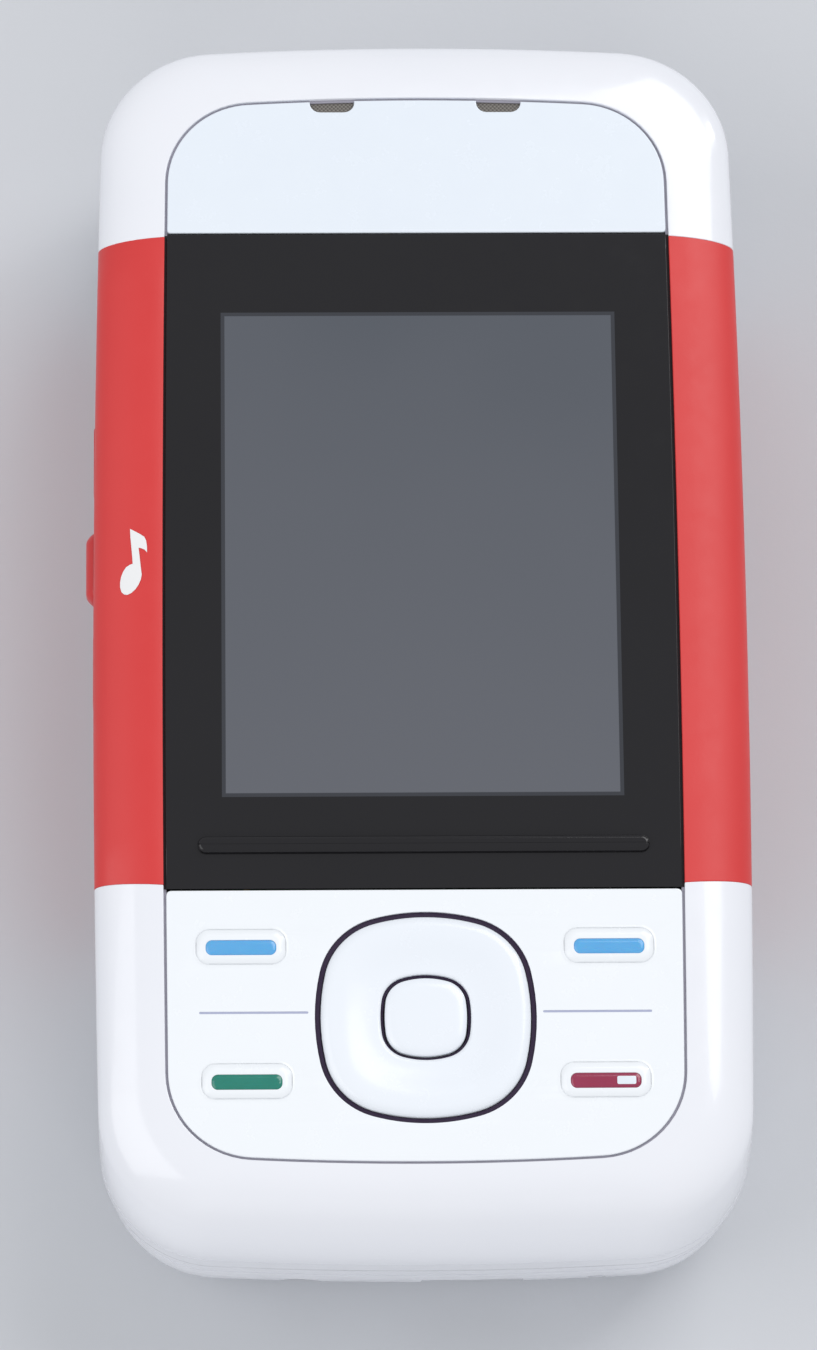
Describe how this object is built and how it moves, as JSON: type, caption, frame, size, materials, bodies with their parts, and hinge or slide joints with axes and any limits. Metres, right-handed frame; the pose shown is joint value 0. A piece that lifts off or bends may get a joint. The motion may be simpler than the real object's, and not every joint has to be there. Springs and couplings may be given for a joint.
{
  "type": "slider phone",
  "caption": "Two-part sliding handset: display half with scroll keys over a base half with number keys, rails, boards, battery and covers.",
  "frame": {"origin": "middle of the back, on the surface that the phone lies on", "axes": "+X to the phone's right side seen from the front, +Y towards the earpiece end, +Z out of the front"},
  "size_m": [0.0484, 0.0924, 0.0207],
  "materials": {
    "white_plastic": "glossy moulded plastic",
    "white_panel": "satin moulded plastic",
    "red_plastic": "soft-touch satin plastic",
    "red_key": "satin plastic",
    "white_key": "glossy moulded plastic",
    "number_key": "satin plastic",
    "window": "glossy acrylic, printed black on its back",
    "lens_glass": "clear",
    "display": "satin glass",
    "metal": "plain sheet",
    "mesh": "woven mesh",
    "board": "solder mask",
    "flex": "polyimide film",
    "silicone": "silicone",
    "black_plastic": "moulded",
    "battery_wrap": "printed film over an aluminium can"
  },
  "bodies": {
    "base": {"base_front_cover": "white_plastic", "middle_frame": "white_plastic", "base_band_right": "red_plastic", "base_band_left": "red_plastic", "camera_cover": "white_plastic", "camera_window": "lens_glass", "base_screws": "metal", "rail_plate": "metal", "rail_springs": "metal", "slide_flex": "flex", "number_key_mat": "silicone", "main_circuit_board": "board", "shield_cans": "metal", "camera_module": "black_plastic", "loudspeaker": "black_plastic", "battery": "battery_wrap", "headset_socket": "black_plastic", "charger_socket": "black_plastic", "data_socket": "black_plastic"},
    "slide": {"slide_front_cover": "white_plastic", "slide_rear_cover": "white_plastic", "slide_band_right": "red_plastic", "slide_band_left": "red_plastic", "slide_screws": "metal", "earpiece_panel": "white_panel", "display_window": "window", "key_panel": "white_panel", "earpiece_mesh": "mesh", "slide_circuit_board": "board", "function_key_mat": "silicone", "display_tray": "metal", "display_module": "display", "earpiece": "black_plastic", "carrier_plate": "metal"},
    "battery_cover": {"battery_cover": "white_plastic"},
    "ring_pivot": {"scroll_ring_pivot": "black_plastic"},
    "ring": {"scroll_ring": "white_key"},
    "soft_key_left": {"soft_key_left": "white_key"},
    "soft_key_right": {"soft_key_right": "white_key"},
    "call_key": {"call_key": "white_key"},
    "end_key": {"end_key": "white_key"},
    "select_key": {"select_key": "white_key"},
    "rewind_key": {"rewind_key": "red_key"},
    "play_key": {"play_key": "red_key"},
    "forward_key": {"forward_key": "red_key"},
    "number_key_1": {"number_key_1": "number_key"},
    "number_key_2": {"number_key_2": "number_key"},
    "number_key_3": {"number_key_3": "number_key"},
    "number_key_4": {"number_key_4": "number_key"},
    "number_key_5": {"number_key_5": "number_key"},
    "number_key_6": {"number_key_6": "number_key"},
    "number_key_7": {"number_key_7": "number_key"},
    "number_key_8": {"number_key_8": "number_key"},
    "number_key_9": {"number_key_9": "number_key"},
    "number_key_star": {"number_key_star": "number_key"},
    "number_key_0": {"number_key_0": "number_key"},
    "number_key_hash": {"number_key_hash": "number_key"},
    "camera_key": {"camera_key": "red_key"},
    "power_key": {"power_key": "white_key"},
    "volume_key": {"volume_key": "red_key"}
  },
  "joints": [
    {"name": "slide_open", "type": "slide", "parent": "base", "child": "slide", "axis": [0, 1, 0], "range_m": [0, 0.035], "deforming": ["slide_flex", "rail_springs"]},
    {"name": "soft_key_left_press", "type": "slide", "parent": "slide", "child": "soft_key_left", "axis": [0, 0, -1], "range_m": [0, 0.00025], "stiffness_N_per_m": 600},
    {"name": "soft_key_right_press", "type": "slide", "parent": "slide", "child": "soft_key_right", "axis": [0, 0, -1], "range_m": [0, 0.00025], "stiffness_N_per_m": 600},
    {"name": "call_key_press", "type": "slide", "parent": "slide", "child": "call_key", "axis": [0, 0, -1], "range_m": [0, 0.00025], "stiffness_N_per_m": 600},
    {"name": "end_key_press", "type": "slide", "parent": "slide", "child": "end_key", "axis": [0, 0, -1], "range_m": [0, 0.00025], "stiffness_N_per_m": 600},
    {"name": "select_key_press", "type": "slide", "parent": "slide", "child": "select_key", "axis": [0, 0, -1], "range_m": [0, 0.00025], "stiffness_N_per_m": 600},
    {"name": "rewind_key_press", "type": "slide", "parent": "slide", "child": "rewind_key", "axis": [1, 0, 0], "range_m": [0, 0.00025], "stiffness_N_per_m": 600},
    {"name": "play_key_press", "type": "slide", "parent": "slide", "child": "play_key", "axis": [1, 0, 0], "range_m": [0, 0.00025], "stiffness_N_per_m": 600},
    {"name": "forward_key_press", "type": "slide", "parent": "slide", "child": "forward_key", "axis": [1, 0, 0], "range_m": [0, 0.00025], "stiffness_N_per_m": 600},
    {"name": "number_key_1_press", "type": "slide", "parent": "base", "child": "number_key_1", "axis": [0, 0, -1], "range_m": [0, 0.00025], "stiffness_N_per_m": 600},
    {"name": "number_key_2_press", "type": "slide", "parent": "base", "child": "number_key_2", "axis": [0, 0, -1], "range_m": [0, 0.00025], "stiffness_N_per_m": 600},
    {"name": "number_key_3_press", "type": "slide", "parent": "base", "child": "number_key_3", "axis": [0, 0, -1], "range_m": [0, 0.00025], "stiffness_N_per_m": 600},
    {"name": "number_key_4_press", "type": "slide", "parent": "base", "child": "number_key_4", "axis": [0, 0, -1], "range_m": [0, 0.00025], "stiffness_N_per_m": 600},
    {"name": "number_key_5_press", "type": "slide", "parent": "base", "child": "number_key_5", "axis": [0, 0, -1], "range_m": [0, 0.00025], "stiffness_N_per_m": 600},
    {"name": "number_key_6_press", "type": "slide", "parent": "base", "child": "number_key_6", "axis": [0, 0, -1], "range_m": [0, 0.00025], "stiffness_N_per_m": 600},
    {"name": "number_key_7_press", "type": "slide", "parent": "base", "child": "number_key_7", "axis": [0, 0, -1], "range_m": [0, 0.00025], "stiffness_N_per_m": 600},
    {"name": "number_key_8_press", "type": "slide", "parent": "base", "child": "number_key_8", "axis": [0, 0, -1], "range_m": [0, 0.00025], "stiffness_N_per_m": 600},
    {"name": "number_key_9_press", "type": "slide", "parent": "base", "child": "number_key_9", "axis": [0, 0, -1], "range_m": [0, 0.00025], "stiffness_N_per_m": 600},
    {"name": "number_key_star_press", "type": "slide", "parent": "base", "child": "number_key_star", "axis": [0, 0, -1], "range_m": [0, 0.00025], "stiffness_N_per_m": 600},
    {"name": "number_key_0_press", "type": "slide", "parent": "base", "child": "number_key_0", "axis": [0, 0, -1], "range_m": [0, 0.00025], "stiffness_N_per_m": 600},
    {"name": "number_key_hash_press", "type": "slide", "parent": "base", "child": "number_key_hash", "axis": [0, 0, -1], "range_m": [0, 0.00025], "stiffness_N_per_m": 600},
    {"name": "camera_key_press", "type": "slide", "parent": "base", "child": "camera_key", "axis": [-1, 0, 0], "range_m": [0, 0.00025], "stiffness_N_per_m": 600},
    {"name": "power_key_press", "type": "slide", "parent": "base", "child": "power_key", "axis": [0, -1, 0], "range_m": [0, 0.00025], "stiffness_N_per_m": 600},
    {"name": "volume_key_rock", "type": "hinge", "parent": "base", "child": "volume_key", "pos_m": [0.0212, 0.014, 0.0063], "axis": [0, 0, 1], "range_deg": [-1.5, 1.5], "stiffness_Nm_per_rad": 0.1},
    {"name": "ring_tilt_up_down", "type": "hinge", "parent": "slide", "child": "ring_pivot", "pos_m": [0, -0.02965, 0.01835], "axis": [1, 0, 0], "range_deg": [-1, 1], "stiffness_Nm_per_rad": 0.3},
    {"name": "ring_tilt_left_right", "type": "hinge", "parent": "ring_pivot", "child": "ring", "pos_m": [0, -0.02965, 0.01835], "axis": [0, 1, 0], "range_deg": [-1, 1], "stiffness_Nm_per_rad": 0.3},
    {"name": "battery_cover_slide", "type": "slide", "parent": "base", "child": "battery_cover", "axis": [0, -1, 0], "range_m": [0, 0.03]}
  ]
}
